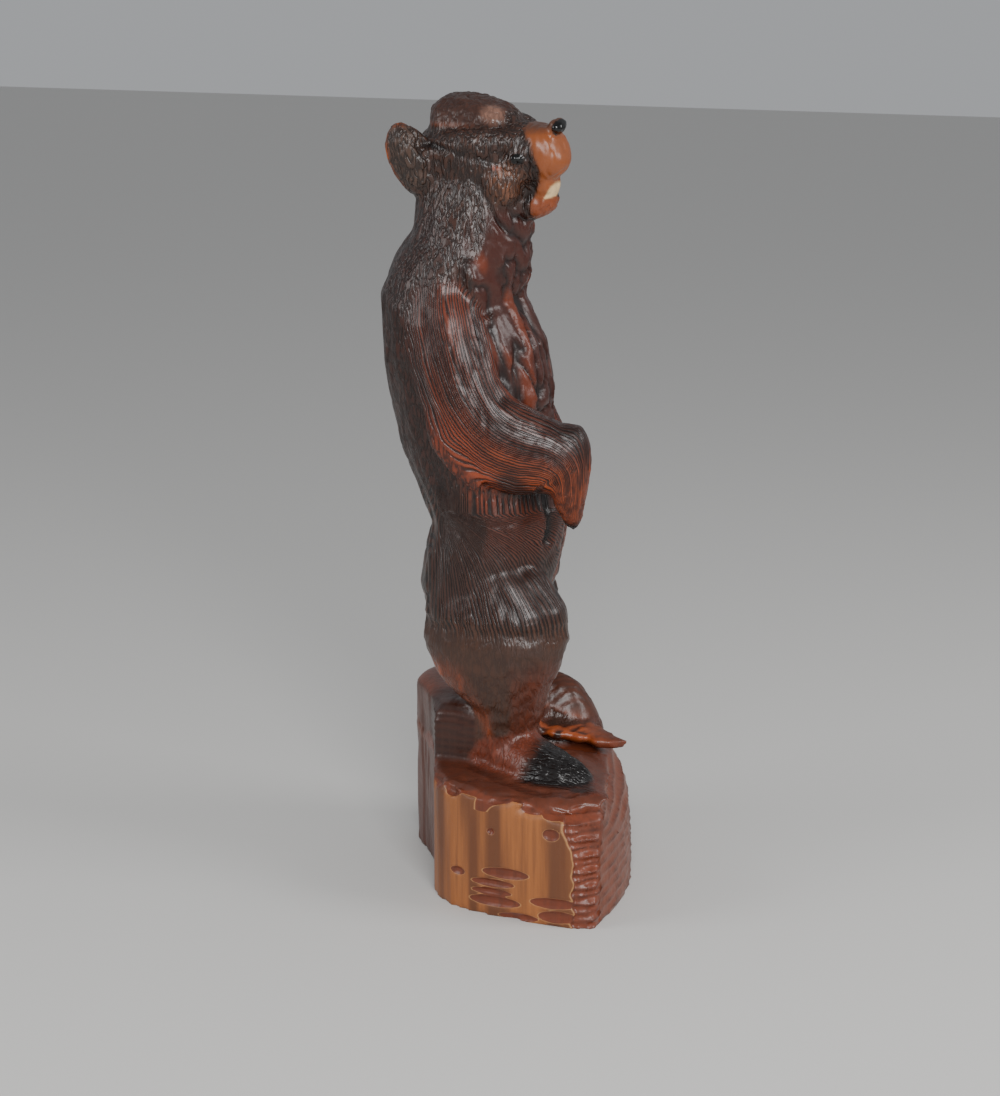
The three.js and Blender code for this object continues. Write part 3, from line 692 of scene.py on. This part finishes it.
CROWN_PAINTED_SHEEN = shade(132, 98, 84)
CROWN_BACK_WOOD = shade(128, 66, 38)

turned = Matrix.Rotation(HEAD_TURN, 3, "Z") @ Matrix.Rotation(HEAD_RISE, 3, "Y")
turned = np.array(turned @ Matrix.Rotation(HEAD_ROLL, 3, "X"))
hx, hy, hz = ((start - np.array(HEAD_CENTRE)) @ turned).T
hside = np.abs(hy)
on_head = np.stack([hx, hside, hz], 1)  # in the frame of the head, both sides as one
head_facing = facing @ turned
is_head = eased(JAW_HEIGHT, 0.955, z) * eased(-0.075, -0.055, hz + 0.5 * hx * (hx > 0.05))


def head_line(points):
    """Distance from a line drawn on both sides of the head."""
    line = np.array(points)
    nearest = np.full(len(at), np.inf)
    for a, b in zip(line[:-1], line[1:]):
        share = np.clip((on_head - a) @ (b - a) / ((b - a) @ (b - a)), 0, 1)
        nearest = np.minimum(nearest, np.linalg.norm(on_head - a - share[:, None] * (b - a), axis=1))
    return nearest


def from_place(place, size=(1, 1, 1)):
    """Distance from a place on the head, in the sizes given."""
    return np.linalg.norm((on_head - place) / size, axis=1)


# Short fur is pricked into the face as far as the edge of the mask.
short_fur = start.copy()
short_fur[:, 2] /= STIPPLE_STRETCH
stipple = scored(short_fur, STIPPLE)
mask_edge = np.interp(hz, *zip(*MASK_EDGE))
muzzle = eased(0.904, JAW_HEIGHT, z) * eased(-0.004, 0.004, hx - mask_edge)
stained(is_head * (1 - muzzle), FACE_FUR)
at -= facing * (is_head * (1 - muzzle) * STIPPLE_DEPTH * (1 - stipple))[:, None]
crease = head_line(CREASE)
at -= facing * (eased(0.009, 0.001, crease) * CREASE_DEPTH)[:, None]
stained(eased(0.007, 0.0015, crease) * (1 - muzzle), CREASE_STAIN)
stained(eased(0.036, 0.012, from_place(CHEEK)) * 0.8, CHEEK_FUR)
stained(eased(0.005, 0.002, head_line(LID)), LID_RED)

# The muzzle, its darker bridge, the jaw below, and the strokes that end the mask.
stained(muzzle, MUZZLE_WOOD)
stained(muzzle * eased(0.034, 0.046, hz), BRIDGE_WOOD)
stained(muzzle * eased(-0.046, -0.054, hz), JAW_WOOD)
strokes_at_mask = eased(0.006, 0.001, np.abs(hx - mask_edge + 0.006))
strokes_at_mask *= eased(0.93, 0.95, z) * eased(0.03, 0.0, hz)
stained(strokes_at_mask * 0.8, MASK_STAIN)

# Paint: teeth, the line of the lip, nose and eyes.
tooth = eased(0.904, JAW_HEIGHT, z) * eased(-0.053, -0.050, hz) * eased(-0.028, -0.031, hz)
tooth *= eased(-0.001, 0.002, hx - 0.117 - 0.72 * (hz + 0.032))
stained(tooth, TOOTH_CREAM)
stained(eased(0.0045, 0.002, head_line(LIP)), LIP_STAIN)
nose_out = np.linalg.norm((np.stack([hx, hy, hz], 1) - NOSE) / NOSE_SIZE, axis=1)
nose = eased(1.16, 1.04, nose_out)
stained(nose, NOSE_BLACK)
at -= facing * (eased(0.007, 0.002, from_place(NOSTRIL)) * NOSTRIL_DEPTH)[:, None]
eye = eased(EYE_RADIUS + 0.0006, EYE_RADIUS - 0.0006, from_place(EYE))
stained(eye, EYE_BLACK)

# The ears are hollowed, and the crown between them is left in broad chips, with a painted sheen on top.
ear = eased(0.955, 0.97, z) * eased(-0.030, -0.045, hx) * eased(0.05, 0.06, hside)
rim = ear * np.maximum(eased(-0.35, -0.75, head_facing[:, 0]), eased(0.055, 0.068, hz))
stained(ear * (1 - rim), EAR_FUR)
stained(rim, EAR_RIM)
hollow_depth = eased(1.0, 0.0, from_place(EAR_HOLLOW, EAR_HOLLOW_SIZE))
at -= np.outer(hollow_depth * EAR_DEPTH, turned @ [1, 0, 0.1])
crown = eased(0.047, 0.055, hz) * eased(0.06, 0.05, hx) * (1 - ear)
stained(crown, CROWN_WOOD)
# Painted sheen: a pale patch on top of the crown stands for the light that its varnish reflects.
crown_sheen = eased(0.022, 0.008, np.linalg.norm(start - np.array(CROWN_SHEEN_PLACE), axis=1))
stained(crown_sheen * 0.8, CROWN_PAINTED_SHEEN)
stained(crown * eased(1.052, 1.040, z) * eased(-0.04, -0.06, x) * 0.9, CROWN_BACK_WOOD)
smooth_skin = np.clip(muzzle + tooth + nose + eye + 0.6 * crown, 0, 1)
comb *= (1 - smooth_skin)[:, None]
gloss += 0.5 * nose + 0.5 * eye + 0.25 * crown_sheen

# Nothing stands out past the roughed block, and the foot of the log stays flat.
INSIDE_BLOCK = 2e-4
at = np.clip(at, np.array(cad_low) + INSIDE_BLOCK, np.array(cad_high) - INSIDE_BLOCK)
at[:, 2] = np.where(start[:, 2] < 0.001, 0.0, np.maximum(at[:, 2], 0.0))
outward()

# ---- Stain and varnish ----
# Dark stain is brushed on and wiped off the crests, so that it stays in the cuts, and the whole
# is varnished. The sawn face takes little stain and shows its upright grain.


def lay_down(name, kind, values):
    """Keeps one value for each point of the carving, for the finish to read."""
    layer = mesh.attributes.new(name, kind, "POINT")
    field = {"FLOAT": "value", "FLOAT_VECTOR": "vector", "FLOAT_COLOR": "color"}[kind]
    layer.data.foreach_set(field, np.asarray(values, np.float32).ravel())


lay_down("stain", "FLOAT_COLOR", np.column_stack([tone, np.clip(gloss, 0, 1)]))
lay_down("comb", "FLOAT_COLOR", np.clip(comb, 0, 1))
lay_down("arm_flow", "FLOAT_VECTOR", arm_flow)
lay_down("fan_flow", "FLOAT_VECTOR", fan_flow)
lay_down("sawn", "FLOAT", on_face)
lay_down("cut_mark", "FLOAT", cut_mark)
lay_down("hewn", "FLOAT", is_log)


class Wire:
    """A socket of a finish, on which sums are written as they are on paper."""

    def __init__(self, finish, socket):
        self.finish, self.socket = finish, socket

    def sum(self, operation, *others):
        """One step of arithmetic, on numbers and wires alike."""
        values = dict(zip(("Value", "Value_001"), others))
        return self.finish.node("ShaderNodeMath", {"operation": operation}, values)[0]

    def __add__(self, other):
        return self.sum("ADD", self, other)

    def __sub__(self, other):
        return self.sum("SUBTRACT", self, other)

    def __rsub__(self, other):
        return self.sum("SUBTRACT", other, self)

    def __mul__(self, other):
        return self.sum("MULTIPLY", self, other)

    __radd__, __rmul__ = __add__, __mul__

    def __abs__(self):
        return self.sum("ABSOLUTE", self)

    def wave(self):
        """1 on the crests of the strokes and -1 in the valleys, one stroke to each whole number."""
        return self.sum("SINE", self * (2 * math.pi))

    def turn_from(self, other):
        """The angle round an axis, of a place given by two wires."""
        return self.sum("ARCTAN2", self, other)

    def between(self, low, high):
        """0 at low, 1 at high, eased between."""
        values = {"Value": self, "From Min": low, "From Max": high}
        return self.finish.node("ShaderNodeMapRange", {"interpolation_type": "SMOOTHSTEP"}, values)[0]


class Finish:
    """One material, built from its nodes."""

    def __init__(self, name):
        self.material = bpy.data.materials.new(name)
        self.material.use_nodes = True
        self.tree = self.material.node_tree
        self.tree.nodes.clear()

    def node(self, kind, settings=None, values=None):
        """Any node: its settings first, then the values or wires of its sockets."""
        made = self.tree.nodes.new(kind)
        for key, value in (settings or {}).items():
            setattr(made, key, value)
        for key, value in (values or {}).items():
            socket = next((s for s in made.inputs if s.identifier == key), None)
            socket = socket or next((s for s in made.inputs if s.name == key and s.enabled), None)
            if isinstance(value, Wire):
                self.tree.links.new(value.socket, socket)
            else:
                socket.default_value = value
        return [Wire(self, socket) for socket in made.outputs if socket.enabled]

    def blend(self, share, first, second, how="MIX"):
        """The first colour with a share of the second."""
        settings = {"data_type": "RGBA", "blend_type": how}
        values = {"Factor_Float": share, "A_Color": first, "B_Color": second}
        return self.node("ShaderNodeMix", settings, values)[0]

    def noise(self, place, size, detail=1.0):
        values = {"Vector": place, "Scale": 1 / size, "Detail": detail, "Roughness": 0.5}
        return self.node("ShaderNodeTexNoise", None, values)[0]

    def stretched(self, place, scale):
        return self.node("ShaderNodeMapping", None, {"Vector": place, "Scale": scale})[0]

    def attribute(self, name):
        return self.node("ShaderNodeAttribute", {"attribute_name": name})


ARM_STROKES = 66  # gouge strokes in one turn round the arm
FAN_STROKE = 0.0047  # width of one gouge stroke on the hip
UPRIGHT_STROKE = 0.0065  # width of the loose upright strokes on neck, back and shin
TOE_STROKE = 0.0060  # and of those that run forward on the foot
WORN_LIGHTER = (1.55, 1.45, 1.4, 1.0)  # crests against the stain between them
DARK_PATCHES = (0.45, 0.42, 0.42, 1.0)
DRIED_STAIN = (0.006, 0.003, 0.0025, 1.0)  # what stays in the bottom of a stroke
GRAIN_STAIN = (0.05, 0.018, 0.010, 1.0)
DARK_BARE_WOOD = (0.13, 0.042, 0.014, 1.0)
LIGHT_BARE_WOOD = (0.34, 0.115, 0.030, 1.0)
BARE_GRAIN = (0.12, 0.042, 0.016, 1.0)
LIGHT_CUT_RIM = (0.62, 0.33, 0.13, 1.0)
STROKE_DEPTH = 0.0011
GRAIN_DEPTH = 0.0004
TOOL_DEPTH = 0.0006

varnish = Finish("stained_and_varnished_wood")
place = varnish.node("ShaderNodeTexCoord")[3]
stain_colour, _, _, shine = varnish.attribute("stain")
comb_parts = varnish.attribute("comb")
split = varnish.node("ShaderNodeSeparateColor", None, {"Color": comb_parts[0]})
arm_place = varnish.attribute("arm_flow")[1]
round_arm = varnish.node("ShaderNodeSeparateXYZ", None, {"Vector": arm_place})
fan_place = varnish.attribute("fan_flow")[1]
over_fan = varnish.node("ShaderNodeSeparateXYZ", None, {"Vector": fan_place})


def wandering(count, flow):
    """Strokes counted off across the fur, let wander a little as the hand does."""
    return count + varnish.noise(flow, 0.025) * 3.0 + varnish.noise(flow, 0.007) * 1.2


# Even strokes on arms and hip, counted off across them.
arm_count = round_arm[1].turn_from(round_arm[0]) * (ARM_STROKES / (2 * math.pi))
fan_count = (over_fan[0] + over_fan[1]) * (1 / FAN_STROKE)
strokes = [(split[0], wandering(arm_count, arm_place)), (split[1], wandering(fan_count, fan_place))]
depth = 0.0
crest = 0.0
for weight, count in strokes:
    wave = count.wave()
    depth = weight * wave.between(0.1, -0.9) + depth
    crest = weight * wave.between(0.3, 1.0) + crest

# Loose strokes elsewhere, along the ridges of a drawn-out noise.
ways = [
    (split[2], varnish.stretched(place, (1, 1, 0.3)), UPRIGHT_STROKE),
    (comb_parts[3], varnish.stretched(place, (0.25, 1, 0.8)), TOE_STROKE),
]
for weight, flow, size in ways:
    ridge = abs(varnish.noise(flow, size, 1.0) * 2.0 - 1.0)
    depth = weight * (1.0 - ridge.between(0.0, 0.28)) * 0.85 + depth
    crest = weight * ridge.between(0.25, 0.5) * 0.7 + crest

# The stain: lighter on worn crests, nearly black in the strokes, and patchy all over.
mottle = varnish.noise(place, 0.05, 3.0)
worn = varnish.blend(1.0, stain_colour, WORN_LIGHTER, "MULTIPLY")
darkened = varnish.blend(crest * 0.8, stain_colour, worn)
darkened = varnish.blend(depth * 0.85, darkened, DRIED_STAIN)
dark_patch = varnish.blend(1.0, darkened, DARK_PATCHES, "MULTIPLY")
patchy = varnish.blend((mottle - 0.45) * 1.4, darkened, dark_patch)

# The sawn face: bare upright grain wherever no gouge has cut it, with a lighter rim round each cut.
hewn = varnish.attribute("hewn")[2]
sawn = varnish.attribute("sawn")[2].between(0.35, 0.65)
inside_cut = varnish.attribute("cut_mark")[2]
uncut = 1.0 - inside_cut.between(-0.03, 0.03)
rim = inside_cut.between(-0.12, -0.02) * (1.0 - inside_cut.between(-0.01, 0.06))
bare = sawn * uncut
grain_place = varnish.stretched(place, (1, 1, 0.055))
grain = varnish.noise(grain_place, 0.007, 3.0)
streak = varnish.noise(grain_place, 0.028, 2.0)
bare_colour = varnish.blend(streak.between(0.38, 0.62), DARK_BARE_WOOD, LIGHT_BARE_WOOD)
bare_colour = varnish.blend(grain.between(0.35, 0.75) * 0.55, bare_colour, BARE_GRAIN)
worked = varnish.blend(grain.between(0.4, 0.7) * hewn * 0.35, patchy, GRAIN_STAIN)
colour = varnish.blend(bare, worked, bare_colour)
colour = varnish.blend(rim * sawn * 0.45, colour, LIGHT_CUT_RIM)

tool_marks = varnish.noise(place, 0.012, 2.0)
height = (1.0 - depth) * STROKE_DEPTH + grain * hewn * GRAIN_DEPTH + tool_marks * TOOL_DEPTH
bumped = varnish.node("ShaderNodeBump", None, {"Strength": 1.0, "Distance": 1.0, "Height": height})[0]
roughness = 0.50 - shine * 0.30 + bare * 0.12 + (mottle - 0.5) * 0.2
surface = varnish.node(
    "ShaderNodeBsdfPrincipled",
    None,
    {"Base Color": colour, "Roughness": roughness, "Normal": bumped, "Specular IOR Level": 0.5},
)[0]
varnish.node("ShaderNodeOutputMaterial", None, {"Surface": surface})
mesh.materials.clear()
mesh.materials.append(varnish.material)
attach(carving, "root")
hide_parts("carved_bear")

# ---- Floor and light ----
# A plain pale floor and soft studio light: a large lamp before the bear, a weaker one at each
# side, and an even light from all round.
FLOOR_HALF = 12
floor_mesh = bmesh.new()
bmesh.ops.create_grid(floor_mesh, x_segments=1, y_segments=1, size=FLOOR_HALF)
floor = bpy.data.objects.new("floor", bpy.data.meshes.new("floor"))
floor_mesh.to_mesh(floor.data)
floor_mesh.free()
bpy.context.scene.collection.objects.link(floor)
pale = Finish("pale_floor")
pale_paint = {"Base Color": (0.62, 0.61, 0.59, 1), "Roughness": 0.8}
painted = pale.node("ShaderNodeBsdfPrincipled", None, pale_paint)[0]
pale.node("ShaderNodeOutputMaterial", None, {"Surface": painted})
floor.data.materials.append(pale.material)

AIM = Vector((0, 0, 0.55))  # the middle of the bear
LAMPS = [  # name, place, width and power in watts
    ("front_lamp", (1.5, -2.9, 2.1), 1.6, 105),
    ("left_lamp", (-2.4, -1.8, 1.8), 1.4, 30),
    ("right_lamp", (2.8, 0.2, 1.9), 1.2, 40),
]
for name, place, size, power in LAMPS:
    lamp = bpy.data.lights.new(name, "AREA")
    lamp.size = size
    lamp.energy = power
    holder = bpy.data.objects.new(name, lamp)
    holder.location = place
    holder.rotation_euler = (AIM - Vector(place)).to_track_quat("-Z", "Y").to_euler()
    bpy.context.scene.collection.objects.link(holder)
world = bpy.data.worlds.new("studio")
world.use_nodes = True
world.node_tree.nodes["Background"].inputs["Color"].default_value = (0.85, 0.87, 0.9, 1)
world.node_tree.nodes["Background"].inputs["Strength"].default_value = 0.45
bpy.context.scene.world = world
